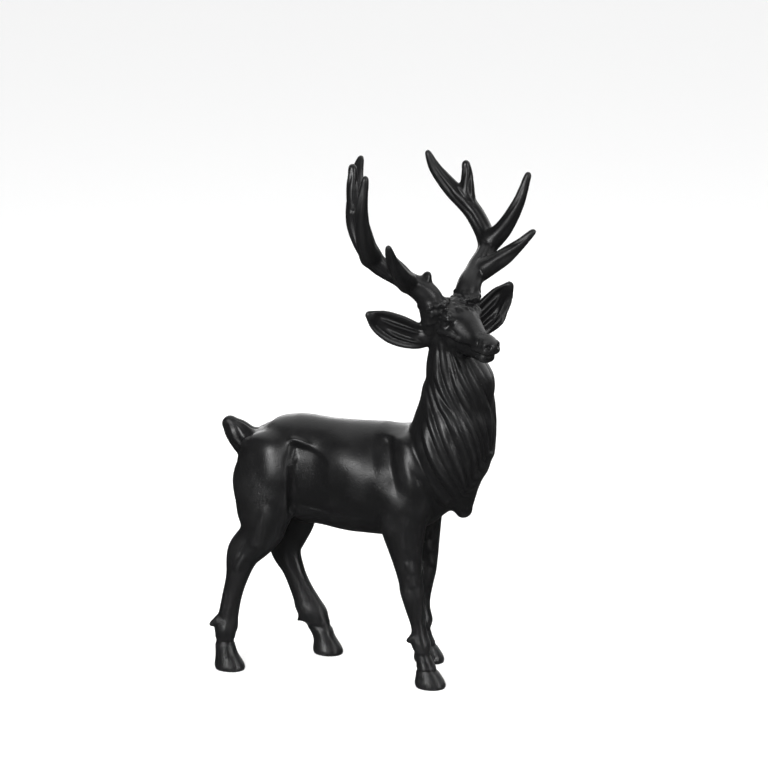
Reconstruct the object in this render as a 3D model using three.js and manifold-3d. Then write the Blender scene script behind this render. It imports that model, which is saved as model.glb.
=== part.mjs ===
// A standing stag, cast in one piece, looking round to its right.
// Millimetres: +X is the way the body faces, +Y its left and +Z up, with the origin on the floor below the
// middle of its box.
import * as THREE from "three";
import { LoftGeometry } from "three/addons/geometries/LoftGeometry.js";
import { mergeVertices } from "three/addons/utils/BufferGeometryUtils.js";
import Module from "manifold-3d";

const wasm = await Module();
wasm.setup();

// Driving dimensions
const HEAD_TURN = -39; // degrees the head looks round, to the right
const HEAD_NOD = 8; // degrees the muzzle points below level
const SKULL = [64.5, -4, 317]; // middle of the skull
const BURR = [-2, 16, 17]; // an antler's foot from the middle of the skull, forward, out and up
const EAR_ROOT = [-7, 14, -12];
const EYE_RADIUS = 4.2;
const HOOF_LENGTH = 28;
const HOOF_WIDTH = 21;
const HOOF_HEIGHT = 17;
const HOOF_TOE_OUT = 3.5; // the hoof's middle is this far ahead of the coronet
const DEWCLAW_LENGTH = 4;
const LOCK_LENGTH = 58; // a lock of the mane
const LOCK_FULLNESS = 0.78; // a lock's width over its share of the row
const LOCK_RISE = 4.4; // a lock's ridge above the neck
const LOCK_ROWS = 4;
const LOCKS_IN_ROW = 11;
const IRON = { color: 0x1b1b1c, roughness: 0.45, metalness: 0.6 };

const vec = (x, y, z) => new THREE.Vector3(x, y, z);
const rad = THREE.MathUtils.degToRad;
const curve = (points) => new THREE.CatmullRomCurve3(points, false, "catmullrom", 0.5);
const LEFT = vec(0, 1, 0);
const FORWARD = vec(1, 0, 0);
const UP = vec(0, 0, 1);

// A skin through stations [x, y, z, half width, half depth], with width along "across". at(t, angle, out) is
// a point of the skin, pushed out by "out".
function skin(stations, across = LEFT) {
  const line = curve(stations.map(([x, y, z]) => vec(x, y, z)));
  const size = curve(stations.map(([, , , wide, deep]) => vec(wide, deep, 0)));
  const at = (t, angle, out = 0, advance = 0, shrink = 1) => {
    const along = line.getTangent(t);
    const wideDir = across.clone().addScaledVector(along, -across.dot(along)).normalize();
    const deepDir = vec(0, 0, 0).crossVectors(along, wideDir);
    const half = size.getPoint(t);
    return line
      .getPoint(t)
      .addScaledVector(along, advance * Math.min(half.x, half.y))
      .addScaledVector(wideDir, (half.x + out) * shrink * Math.cos(angle))
      .addScaledVector(deepDir, (half.y + out) * shrink * Math.sin(angle));
  };
  return { at, length: line.getLength() };
}

// A closed body through stations, with domed ends where "domes" says so.
const DOME = [
  [0.85, 0.4],
  [0.5, 0.8],
];
function sweep(stations, { sides, steps, across = LEFT, domes = [true, true] }) {
  const { at } = skin(stations, across);
  const ring = (t, advance = 0, shrink = 1) =>
    Array.from({ length: sides }, (_, j) => at(t, (j / sides) * 2 * Math.PI, 0, advance, shrink));
  const body = Array.from({ length: steps + 1 }, (_, i) => ring(i / steps));
  const head = domes[0] ? DOME.map(([advance, shrink]) => ring(0, -advance, shrink)) : [];
  const foot = domes[1] ? DOME.map(([advance, shrink]) => ring(1, advance, shrink)).reverse() : [];
  return new LoftGeometry([...head, ...body, ...foot], { capStart: true, capEnd: true });
}

function ball([x, y, z], [rx, ry, rz], segments = 10) {
  const sphere = new THREE.SphereGeometry(1, segments, Math.ceil(segments * 0.6));
  return sphere.scale(rx, ry, rz).translate(x, y, z);
}

function solid(geometry) {
  const bare = new THREE.BufferGeometry();
  bare.setAttribute("position", geometry.getAttribute("position"));
  bare.setIndex(geometry.getIndex());
  const merged = mergeVertices(bare, 1e-4);
  return new wasm.Manifold(
    new wasm.Mesh({
      numProp: 3,
      vertProperties: merged.attributes.position.array,
      triVerts: new Uint32Array(merged.index.array),
    }),
  );
}

const join = (solids) => solids.reduce((whole, piece) => whole.add(piece));

// Trunk and tail
function trunk() {
  const stations = [
    [-104, 0, 178, 25, 34],
    [-92, 0, 178, 33, 43],
    [-72, 0, 179, 36.5, 47],
    [-44, 0, 178, 35, 46.5],
    [-12, 0, 176, 39, 48.5],
    [15, 0, 177, 38, 49.5],
    [40, 0, 186, 34, 42],
    [55, 0, 194, 27, 32],
    [66, 0, 196, 17, 20],
  ];
  return solid(sweep(stations, { sides: 18, steps: 12 }));
}

function tail() {
  const stations = [
    [-106, 0, 191, 9, 12],
    [-118, 0, 197, 11, 14],
    [-129, 0, 207, 9.5, 11.5],
    [-136, 0, 214, 5.5, 7],
  ];
  return solid(sweep(stations, { sides: 8, steps: 5, domes: [false, true] }));
}

// Legs: a line of joints from the shoulder or hip to the coronet, and half widths and depths along it
const FORELEG_SIZES = [
  [11, 20],
  [16, 26],
  [17, 26],
  [14, 21],
  [10.5, 13],
  [9, 10.5],
  [9.5, 10.5],
  [7.5, 8.5],
  [6.5, 6.5],
  [7.5, 8],
  [7, 7.5],
  [9, 9.5],
];
const THIGH_SIZES = [
  [15, 25],
  [17, 31],
  [14, 25],
  [11, 18],
  [9, 15],
];
const RIGHT_SHANK_SIZES = [
  [7.5, 10],
  [7.2, 8.8],
  [7.2, 9.2],
  [8, 10],
  [7.6, 9.5],
  [9, 10.5],
];
const LEFT_SHANK_SIZES = [
  [7.5, 10.2],
  [7.4, 10.2],
  [8.4, 12.4],
  [8.4, 12],
  [8, 10.8],
  [9, 10.5],
];
const RIGHT_FORELEG = [
  [25, -16, 212],
  [26, -25, 190],
  [28, -27, 168],
  [28, -28, 146],
  [32, -29, 114],
  [35, -29, 96],
  [36.5, -29, 86],
  [38.5, -28.5, 72],
  [42, -28, 54],
  [44.5, -27.5, 36],
  [46.5, -27, 25],
  [49, -27, 17],
];
const LEFT_FORELEG = [
  [25, 16, 212],
  [26, 25, 190],
  [28, 27, 168],
  [28, 28, 146],
  [32, 30, 114],
  [32.5, 31, 96],
  [31, 31, 84],
  [30, 31.5, 70],
  [29.5, 32, 54],
  [30, 32, 36],
  [30.5, 32, 25],
  [32, 32, 17],
];
const RIGHT_HIND_LEG = [
  [-94, -18, 200],
  [-93, -25, 172],
  [-95, -29, 145],
  [-99, -31, 125],
  [-113, -32, 107],
  [-119, -33, 85],
  [-124, -33, 66],
  [-128, -33, 45],
  [-130, -33, 34],
  [-131, -33, 24],
  [-130, -33, 17],
];
const LEFT_HIND_LEG = [
  [-94, 18, 200],
  [-91, 24, 172],
  [-85, 27, 145],
  [-85, 27, 122],
  [-94, 27, 96],
  [-87, 27, 75],
  [-80, 27, 58],
  [-72, 27, 41],
  [-67, 27, 32],
  [-62, 27, 23],
  [-59, 27, 16],
];

function hoof([x, y]) {
  const rows = [
    [0, 0, 0.93],
    [1.5, 0, 1],
    [HOOF_HEIGHT * 0.5, -1, 0.92],
    [HOOF_HEIGHT, -HOOF_TOE_OUT, 0.72],
    [HOOF_HEIGHT + 4, -HOOF_TOE_OUT - 1.5, 0.4],
  ];
  const sides = 12;
  const sections = rows.map(([z, back, grow]) =>
    Array.from({ length: sides }, (_, j) => {
      const angle = ((j + 0.5) / sides) * 2 * Math.PI;
      const forward = (HOOF_LENGTH / 2) * grow * Math.cos(angle);
      return vec(x + back + forward, y + (HOOF_WIDTH / 2) * grow * Math.sin(angle), z);
    }),
  );
  return solid(new LoftGeometry(sections, { capStart: true, capEnd: true }));
}

// A dewclaw's tip is "back" behind the fetlock and "up" above it.
function dewclaw([x, y, z], [back, up], side) {
  const root = [x - back + DEWCLAW_LENGTH + 2, y + side * 3.5, z + up + 5, 4, 4];
  const tip = [x - back, y + side * 4, z + up, 2.2, 2.2];
  return solid(sweep([root, tip], { sides: 6, steps: 1, domes: [false, false] }));
}

function leg(joints, sizes, spur) {
  const stations = joints.map((joint, i) => [...joint, ...sizes[i]]);
  const [x, y] = joints[joints.length - 1];
  const fetlock = joints[joints.length - 3];
  return join([
    solid(sweep(stations, { sides: 10, steps: 13, domes: [true, false] })),
    hoof([x + HOOF_TOE_OUT, y]),
    dewclaw(fetlock, spur, 1),
    dewclaw(fetlock, spur, -1),
  ]);
}

// Neck, with the mane that hangs from it to a tuft before the chest
const NECK = [
  [62, -3, 308, 16, 17],
  [63.5, -3, 291, 18, 19.5],
  [69, -2, 267, 23, 25.5],
  [66, 0, 248, 29, 29],
  [64, 0, 231, 35, 33.5],
  [62, 0, 213, 38, 34.5],
  [63, 0, 196, 37, 31.5],
  [66, 0, 178, 29, 23],
  [71, 0, 163, 17.5, 14],
  [74, 0, 153, 9, 7.5],
];
const NAPE = 1.5 * Math.PI; // the angle of the neck's back
const BREAST = 0.5 * Math.PI;

// One lock lies along the neck, leaning to the breast, and ends in a point that stands off a little.
function lock(neck, start, angle, pitch) {
  const lean = -Math.sin(angle - BREAST) * 0.55;
  const shape = [
    [0, 0.5, -2],
    [0.35, 1, 0],
    [0.7, 0.75, 1],
    [1, 0.12, 1.5],
  ];
  const width = LOCK_FULLNESS * neck.at(start, angle).distanceTo(neck.at(start, angle + pitch));
  const stations = shape.map(([s, wide, lift]) => {
    const p = neck.at(start + (LOCK_LENGTH / neck.length) * s, angle + lean * s, lift);
    return [p.x, p.y, p.z, (width / 2) * wide, LOCK_RISE * (0.4 + 0.6 * wide)];
  });
  const outward = neck.at(start, angle, 1).sub(neck.at(start, angle));
  const across = vec(0, 0, 0).crossVectors(outward, UP);
  return solid(sweep(stations, { sides: 4, steps: 3, across, domes: [false, false] }));
}

function mane() {
  const neck = skin(NECK);
  const pitch = (2 * Math.PI) / LOCKS_IN_ROW;
  const locks = [];
  for (let row = 0; row < LOCK_ROWS; row++) {
    const start = 0.05 + row * 0.19;
    const covered = row < 2 ? 0.45 : 0.5 + 0.2 * row; // either side of the nape, where the hair lies flat
    for (let i = 0; i < LOCKS_IN_ROW; i++) {
      const angle = (i + (row % 2) / 2) * pitch;
      if (Math.abs(angle - NAPE) > covered) locks.push(lock(neck, start, angle, pitch));
    }
  }
  return join([solid(sweep(NECK, { sides: 16, steps: 11 })), ...locks]);
}

// Head, in its own frame: +X along the muzzle, +Y its left, middle of the skull at the origin
const turned = new THREE.Matrix4().makeRotationZ(rad(HEAD_TURN)).setPosition(...SKULL);
const nodded = turned.clone().multiply(new THREE.Matrix4().makeRotationY(rad(HEAD_NOD)));

function face() {
  const skull = [
    [-18, 0, -1, 10, 12],
    [-8, 0, 1, 17.5, 18],
    [4, 0, 1, 18.5, 19],
    [16, 0, 0, 16.5, 17],
    [27, 0, -2, 13, 13],
    [38, 0, -3, 10, 9.5],
    [46, 0, -2, 10.5, 9.3],
    [52, 0, -2.5, 9.2, 8],
  ];
  const jaw = [
    [2, 0, -12, 13, 11],
    [18, 0, -12, 11, 9],
    [35, 0, -12, 8.5, 5.5],
    [50, 0, -12.5, 8, 4.2],
  ];
  let head = solid(sweep(skull, { sides: 12, steps: 9 })).add(solid(sweep(jaw, { sides: 8, steps: 4 })));
  for (const side of [1, -1]) {
    const brow = ball([9, side * 12, 12.5], [9, 5.5, 3.5], 7);
    const eye = ball([9.5, side * 15.6, 7.3], [EYE_RADIUS, 3.4, EYE_RADIUS * 0.85], 7);
    const nostril = ball([57, side * 5.5, -0.5], [3, 2.4, 2.4], 6);
    head = join([head, solid(brow), solid(eye)]).subtract(solid(nostril));
  }
  return head.transform(nodded.elements);
}

function ear(side, reach, fullness) {
  const [back, out, up] = reach;
  const [x, y, z] = EAR_ROOT;
  const along = (s, wide, thick) => {
    const middle = [x + back * s, side * (y + out * s), z + up * s ** 1.7];
    return [...middle, wide * fullness, thick];
  };
  const leaf = [
    along(0, 6, 5),
    along(0.25, 12, 5),
    along(0.55, 14.5, 5),
    along(0.82, 11.5, 4),
    along(1, 4, 2.5),
  ];
  const hollow = [
    along(0.15, 4, 2.5),
    along(0.35, 9, 3.5),
    along(0.58, 11.5, 3.5),
    along(0.8, 7, 3),
    along(0.92, 1.5, 1.5),
  ].map(([px, py, pz, wide, thick]) => [px + 5.5, py, pz, wide, thick]);
  const shell = sweep(leaf, { sides: 10, steps: 7, across: UP, domes: [false, true] });
  const scoop = sweep(hollow, { sides: 8, steps: 5, across: UP, domes: [false, false] });
  const root = ball([x + 1, side * (y + 4), z + 14], [8, 8, 11], 6);
  return solid(shell).subtract(solid(scoop)).add(solid(root)).transform(turned.elements);
}

// The antlers, which differ a little: the beam, then its brow, bez, trez and fork tines, each through
// [forward, out, up] from the burr with the radius there
const LEFT_ANTLER = [
  [
    [-2, -1, -11.5, 12],
    [-6, 5, 8, 11],
    [-17, 22.5, 21.5, 8.6],
    [-30, 43, 36, 8],
    [-51, 45, 59, 8],
    [-68, 34, 78.5, 7.4],
    [-79, 24, 96, 5.4],
    [-83, 18.5, 110, 3],
  ],
  [
    [-7, 7, 6.5, 7],
    [-5, 6.5, 11, 5.8],
    [-3, 5.5, 15.5, 3.8],
  ],
  [
    [-14, 18, 16.5, 9],
    [-0.5, 37.5, 31.5, 7.6],
    [7.5, 47.5, 42.5, 5.2],
    [15, 57.5, 54.5, 3],
  ],
  [
    [-31, 44, 37, 9.6],
    [-20, 52.5, 50.5, 7.8],
    [-10.5, 60, 73, 5.6],
    [-5.5, 67, 98.5, 3.2],
  ],
  [
    [-57, 42, 68, 7],
    [-59, 43, 87.5, 5.6],
    [-60, 42, 101.5, 3.8],
  ],
];
const RIGHT_ANTLER = [
  [
    [-2, -1, -12.5, 12],
    [-6, 5, 8.5, 11],
    [-17, 22, 23, 8.6],
    [-31, 42, 39, 8],
    [-51, 45, 64, 8],
    [-68, 34, 85, 7.4],
    [-79, 25, 102, 5.4],
    [-82, 19, 114, 3],
  ],
  [
    [-7, 7, 8.5, 7],
    [-7, 6, 17, 5.8],
    [-7, 4, 26, 3.8],
  ],
  [
    [-14, 18, 18, 9],
    [-1, 37, 34, 7.6],
    [5, 49, 47, 5.2],
    [12.5, 57.5, 60, 3],
  ],
  [
    [-32, 43, 40, 9.6],
    [-19.5, 57.5, 58, 7.8],
    [-12, 67, 85.5, 5.6],
    [-8.5, 65.5, 114.5, 3.2],
  ],
  [
    [-57, 42, 73.5, 7],
    [-59, 43, 94.5, 5.6],
    [-61, 42, 112, 3.8],
  ],
];

function antler(side, [beam, ...tines]) {
  const [x, y, z] = BURR;
  const place = ([forward, out, up, radius]) => [x + forward, side * (y + out), z + up, radius, radius];
  const tube = (rows, sides, steps) =>
    solid(sweep(rows.map(place), { sides, steps, across: FORWARD, domes: [false, true] }));
  const burr = ball([x - 2, side * (y + 1), z + 3], [12.4, 12.4, 4], 7);
  const branches = tines.map((rows) => tube(rows, 6, rows.length));
  return join([tube(beam, 8, 10), ...branches, solid(burr)]).transform(turned.elements);
}

function geometryOf(body) {
  const mesh = body.getMesh();
  const made = new THREE.BufferGeometry();
  made.setAttribute("position", new THREE.BufferAttribute(mesh.vertProperties, 3));
  made.setIndex(new THREE.BufferAttribute(mesh.triVerts, 1));
  return made;
}

const casting = join([
  trunk(),
  tail(),
  leg(RIGHT_FORELEG, FORELEG_SIZES, [10.5, 6]),
  leg(LEFT_FORELEG, FORELEG_SIZES, [10.5, 6]),
  leg(RIGHT_HIND_LEG, [...THIGH_SIZES, ...RIGHT_SHANK_SIZES], [11.5, 7]),
  leg(LEFT_HIND_LEG, [...THIGH_SIZES, ...LEFT_SHANK_SIZES], [16.5, -4]),
  mane(),
  face(),
  ear(1, [0, 51.5, 35], 1.14),
  ear(-1, [-19, 54.5, 25], 0.94),
  antler(1, LEFT_ANTLER),
  antler(-1, RIGHT_ANTLER),
]);

const stag = new THREE.Mesh(geometryOf(casting), new THREE.MeshStandardMaterial(IRON));
stag.name = "stag";
const box = new THREE.Box3().setFromObject(stag);
const middle = box.getCenter(vec(0, 0, 0));
stag.position.set(-middle.x, -middle.y, -box.min.z);

const statue = new THREE.Group();
statue.add(stag);

export default statue;
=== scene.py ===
"""A cast iron stag that stands on its four hooves and looks round to its right.

The shells repeat the CAD's stations and are fused into one skin. That skin is then worked like clay:
creases are filled as in a casting, and muscles, mane, tail, ears, antlers, face and feet are raised or cut.
"""

import math

import bmesh
import bpy
import numpy as np
from bpy.props import FloatProperty, FloatVectorProperty, IntProperty, PointerProperty
from mathutils import Matrix, Vector


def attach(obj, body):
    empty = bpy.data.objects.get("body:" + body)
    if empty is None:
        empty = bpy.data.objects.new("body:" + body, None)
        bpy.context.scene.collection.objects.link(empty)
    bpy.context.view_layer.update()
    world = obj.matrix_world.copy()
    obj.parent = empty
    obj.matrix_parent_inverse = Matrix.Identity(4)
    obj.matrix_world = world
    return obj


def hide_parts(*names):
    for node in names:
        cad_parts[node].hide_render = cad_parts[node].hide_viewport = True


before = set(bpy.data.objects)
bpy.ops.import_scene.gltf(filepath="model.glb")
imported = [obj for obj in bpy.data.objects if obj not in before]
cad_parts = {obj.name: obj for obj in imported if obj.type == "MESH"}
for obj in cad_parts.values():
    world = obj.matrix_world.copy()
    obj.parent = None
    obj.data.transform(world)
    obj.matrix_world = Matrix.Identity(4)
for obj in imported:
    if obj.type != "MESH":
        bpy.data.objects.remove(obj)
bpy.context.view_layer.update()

bl_info = {
    "name": "Cast Iron Stag",
    "version": (1, 0, 0),
    "blender": (4, 5, 0),
    "location": "3D View > Sidebar > Stag",
    "description": "Builds a cast iron stag statue and the plain stage that it is shown on",
    "category": "Add Mesh",
}

# The camera: azimuth round the statue from its right side, elevation, distance and aim in metres
CAMERA_AZIMUTH = 16
CAMERA_ELEVATION = 16
CAMERA_DISTANCE = 2.6
CAMERA_AIM = Vector((0.0096, 0.0041, 0.255))
SENSOR_WIDTH = 36.0
# Soft lights: what they aim at, then azimuth, elevation, distance, width and height of each
LIGHT_AIM = Vector((0.0, 0.0, 0.23))
KEY_LIGHT = (-12, 25, 1.5, 0.55, 0.6)
FILL_LIGHT = (66, 26, 1.5, 0.5, 0.5)
FAR_LIGHT = (205, 6, 1.6, 0.6, 0.4)
LOW_LIGHTS = {"low_left": (-14, 2.5, 1.5, 0.5, 0.1), "low_right": (58, 2.5, 1.5, 0.5, 0.1)}
LOW_SPREAD = math.radians(16)
BACK_LIGHT = (170, 46)
BACK_SPREAD = math.radians(100)

# Round ends: rings in a dome, its reach as a share of the half size, and the last ring's share
DOME_RINGS = 8
DOME_REACH = 0.92
DOME_TIP = 0.04

# The statue is modelled in millimetres, with +X the way the body faces, +Y its left and +Z up
MM = 0.001
SHIFT = np.array([9.619, -7.925, 0.0])  # from the modelling origin to the CAD's
LEFT = np.array([0.0, 1.0, 0.0])
FORWARD = np.array([1.0, 0.0, 0.0])
UP = np.array([0.0, 0.0, 1.0])
SKULL = Vector((64.5, -4.0, 317.0))
TURNED = Matrix.Translation(SKULL) @ Matrix.Rotation(math.radians(-39.0), 4, "Z")
NODDED = TURNED @ Matrix.Rotation(math.radians(8.0), 4, "Y")
HERE = Matrix.Identity(4)

# Stations of the shells: x, y, z, half width, half depth
TRUNK = [
    (-104, 0, 178, 25, 34),
    (-92, 0, 178, 33, 43),
    (-72, 0, 179, 36.5, 47),
    (-44, 0, 178, 35, 46.5),
    (-12, 0, 176, 39, 48.5),
    (15, 0, 177, 38, 49.5),
    (40, 0, 186, 34, 42),
    (55, 0, 194, 27, 32),
    (66, 0, 196, 17, 20),
]
TAIL = [
    (-106, 0, 191, 9, 12),
    (-118, 0, 197, 11, 14),
    (-129, 0, 207, 9.5, 11.5),
    (-136, 0, 214, 5.5, 7),
]
NECK = [
    (62, -3, 308, 16, 17),
    (63.5, -3, 291, 18, 19.5),
    (69, -2, 267, 23, 25.5),
    (66, 0, 248, 29, 29),
    (64, 0, 231, 35, 33.5),
    (62, 0, 213, 38, 34.5),
    (63, 0, 196, 37, 31.5),
    (66, 0, 178, 29, 23),
    (71, 0, 163, 17.5, 14),
    (74, 0, 153, 9, 7.5),
]

FORELEG_SIZES = [
    (11, 20),
    (16, 26),
    (17, 26),
    (14, 21),
    (10.5, 13),
    (9, 10.5),
    (9.5, 10.5),
    (7.5, 8.5),
    (6.5, 6.5),
    (7.5, 8),
    (7, 7.5),
    (9, 9.5),
]
THIGH_SIZES = [(15, 25), (17, 31), (14, 25), (11, 18), (9, 15)]
RIGHT_SHANK_SIZES = [(7.5, 10), (7.2, 8.8), (7.2, 9.2), (8, 10), (7.6, 9.5), (9, 10.5)]
LEFT_SHANK_SIZES = [(7.5, 10.2), (7.4, 10.2), (8.4, 12.4), (8.4, 12), (8, 10.8), (9, 10.5)]
RIGHT_FORELEG = [
    (25, -16, 212),
    (26, -25, 190),
    (28, -27, 168),
    (28, -28, 146),
    (32, -29, 114),
    (35, -29, 96),
    (36.5, -29, 86),
    (38.5, -28.5, 72),
    (42, -28, 54),
    (44.5, -27.5, 36),
    (46.5, -27, 25),
    (49, -27, 17),
]
LEFT_FORELEG = [
    (25, 16, 212),
    (26, 25, 190),
    (28, 27, 168),
    (28, 28, 146),
    (32, 30, 114),
    (32.5, 31, 96),
    (31, 31, 84),
    (30, 31.5, 70),
    (29.5, 32, 54),
    (30, 32, 36),
    (30.5, 32, 25),
    (32, 32, 17),
]
RIGHT_HIND_LEG = [
    (-94, -18, 200),
    (-93, -25, 172),
    (-95, -29, 145),
    (-99, -31, 125),
    (-113, -32, 107),
    (-119, -33, 85),
    (-124, -33, 66),
    (-128, -33, 45),
    (-130, -33, 34),
    (-131, -33, 24),
    (-130, -33, 17),
]
LEFT_HIND_LEG = [
    (-94, 18, 200),
    (-91, 24, 172),
    (-85, 27, 145),
    (-85, 27, 122),
    (-94, 27, 96),
    (-87, 27, 75),
    (-80, 27, 58),
    (-72, 27, 41),
    (-67, 27, 32),
    (-62, 27, 23),
    (-59, 27, 16),
]
# Rings round the feet: which of the leg's joints, height, reach up and down, rise
FETLOCK = (-3, 40, 8, 0.7)
FORE_LINES = [(-1, 16, 2.4, -0.7), (-3, 30, 4, -0.8)]
HIND_LINES = [(-2, 26, 4, -0.9)]
FOOT_REACH = 20
SOLE_REACH = 0.7  # what lies lower is pressed flat
# The legs' joints, half sizes, how far a dewclaw's tip is behind and above the fetlock, and rings
LEGS = [
    (RIGHT_FORELEG, FORELEG_SIZES, (10.5, 6), [FETLOCK] + FORE_LINES),
    (LEFT_FORELEG, FORELEG_SIZES, (10.5, 6), [FETLOCK] + FORE_LINES),
    (RIGHT_HIND_LEG, THIGH_SIZES + RIGHT_SHANK_SIZES, (11.5, 7), [FETLOCK] + HIND_LINES),
    (LEFT_HIND_LEG, THIGH_SIZES + LEFT_SHANK_SIZES, (16.5, -4), [FETLOCK] + HIND_LINES),
]
HOOF_LENGTH = 28
HOOF_WIDTH = 21
HOOF_TOE_OUT = 3.5
# A hoof's rings: height, step forward, share of the full length and width
HOOF_ROWS = [
    (0, 0, 0.93),
    (1, 0, 0.98),
    (2, 0, 1),
    (8.5, -1, 0.92),
    (17, -3.5, 0.72),
    (21, -5, 0.4),
]

# The head, along the muzzle from the middle of the skull
CRANIUM = [
    (-18, 0, -1, 10, 12),
    (-8, 0, 1, 17.5, 18),
    (4, 0, 1, 18.5, 19),
    (16, 0, 0, 16.5, 17),
    (27, 0, -2, 13, 13),
    (38, 0, -3, 10, 9.5),
    (46, 0, -2, 10.5, 9.3),
    (52, 0, -2.5, 9.2, 8),
]
JAW = [
    (2, 0, -12, 13, 11),
    (18, 0, -12, 11, 9),
    (35, 0, -12, 8.5, 5.5),
    (50, 0, -12.5, 8, 4.2),
]
# Places on the head's left side, and their radii
EYE = (9.4, 15.8, 7.4)
EYE_RADIUS = 4.2
NOSTRIL = (57, 5.6, 0.4)
NOSTRIL_RADIUS = 3.4
NOSTRIL_WING = (54, 7.4, 2.6)
WING_RADIUS = 4.2
FOREHEAD = (0, 0, 17)
FOREHEAD_REACH = (16, 25, 8)
FOREHEAD_TUFTS = 120
EAR_ROOT = (-7, 14, -12)
EAR_LEAF = [
    (0, 6, 5),
    (0.25, 12, 5),
    (0.55, 14.5, 5),
    (0.82, 11.5, 4),
    (1, 4, 2.5),
]
# The ears' sides, reaches back, out and up, and fullness
EARS = [
    (1, (0, 51.5, 35), 1.14),
    (-1, (-19, 54.5, 25), 0.94),
]

# Each antler's beam and tines from its burr: forward, out, up, radius
BURR = (-2, 16, 17)
BURR_RING = 12
BURR_PEARLS = 34
LEFT_ANTLER = [
    [
        (-2, -1, -11.5, 12),
        (-6, 5, 8, 11),
        (-17, 22.5, 21.5, 8.6),
        (-30, 43, 36, 8),
        (-51, 45, 59, 8),
        (-68, 34, 78.5, 7.4),
        (-79, 24, 96, 5.4),
        (-83, 18.5, 110, 3),
    ],
    [(-7, 7, 6.5, 7), (-5, 6.5, 11, 5.8), (-3, 5.5, 15.5, 3.8)],
    [(-14, 18, 16.5, 9), (-0.5, 37.5, 31.5, 7.6), (7.5, 47.5, 42.5, 5.2), (15, 57.5, 54.5, 3)],
    [(-31, 44, 37, 9.6), (-20, 52.5, 50.5, 7.8), (-10.5, 60, 73, 5.6), (-5.5, 67, 98.5, 3.2)],
    [(-57, 42, 68, 7), (-59, 43, 87.5, 5.6), (-60, 42, 101.5, 3.8)],
]
RIGHT_ANTLER = [
    [
        (-2, -1, -12.5, 12),
        (-6, 5, 8.5, 11),
        (-17, 22, 23, 8.6),
        (-31, 42, 39, 8),
        (-51, 45, 64, 8),
        (-68, 34, 85, 7.4),
        (-79, 25, 102, 5.4),
        (-82, 19, 114, 3),
    ],
    [(-7, 7, 8.5, 7), (-7, 6, 17, 5.8), (-7, 4, 26, 3.8)],
    [(-14, 18, 18, 9), (-1, 37, 34, 7.6), (5, 49, 47, 5.2), (12.5, 57.5, 60, 3)],
    [(-32, 43, 40, 9.6), (-19.5, 57.5, 58, 7.8), (-12, 67, 85.5, 5.6), (-8.5, 65.5, 114.5, 3.2)],
    [(-57, 42, 73.5, 7), (-59, 43, 94.5, 5.6), (-61, 42, 112, 3.8)],
]
ANTLERS = [(1, LEFT_ANTLER), (-1, RIGHT_ANTLER)]

# The mane's main strands from back to front, seen from the camera's azimuth: paths of (x, z)
MANE_VIEW = math.radians(CAMERA_AZIMUTH)
MANE_STRANDS = [
    [(30, 243), (31, 229), (32, 218), (35, 207), (40, 195), (47, 183), (56, 170)],
    [(36, 262), (35, 250), (36.5, 238), (40, 226), (45, 213), (52, 200), (60, 186), (66, 172)],
    [(40, 276), (39.5, 262), (41, 247), (44.5, 234), (49, 220), (56, 205), (63, 190), (69, 175)],
    [(42, 284), (43, 264), (45, 251), (49.5, 238), (54.5, 226), (61, 211), (67, 195), (71, 178)],
    [(43, 290), (44, 274), (47, 261), (52, 251), (57, 245), (63, 232.5), (68, 219), (73, 203), (74, 186)],
    [
        (46, 297),
        (47, 281),
        (49.5, 273),
        (53, 263),
        (58, 255),
        (63, 246),
        (67.5, 238),
        (73, 225),
        (78, 209),
        (78, 192),
    ],
    [(54, 293), (56, 281), (58, 270), (61.5, 259), (66, 249), (71, 240), (76.5, 229), (81, 215), (82, 199)],
    [(58.5, 288), (61, 277), (65, 267), (70, 257), (74, 247), (79, 235), (83.5, 222), (85.5, 206)],
    [(65, 284), (68.5, 275), (73, 266), (77.5, 257), (81, 246), (84.5, 234), (87.5, 220), (88, 205)],
    [(72, 280), (77, 270), (81.5, 261), (85, 251), (88, 240), (90, 228), (90.5, 212)],
    [(80, 285), (84.5, 275), (89, 266), (92, 254), (94, 241), (94.5, 228), (93, 214)],
]

# Fullness of the mane at the sides, the throat and the upper nape, with that nape's height and reach
MANE_SIDES = 1.6
MANE_THROAT = 2.4
MANE_NAPE = 1.8
NAPE_HEIGHT = 274
NAPE_REACH = 24

# Planes of the body in x and z: the belly's low point, the top and slant of the shoulder blade's rear
# edge, the peak and bend of the hip's ridge, and where the flank starts to fall back
BELLY_LOW = -36
BELLY_DROP = 2.2
BLADE_TOP = (16.7, 216.5)
BLADE_SLANT = 0.327
BLADE_RISE = 3.4
BLADE_CREST = 1.8
HOLLOW_DEPTH = 3.8
HIP_PEAK = (-69, 210)
HIP_BEND = 0.012
FLANK_START = -34
FLANK_LENGTH = 32
FLANK_FALL = 5.5

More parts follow.
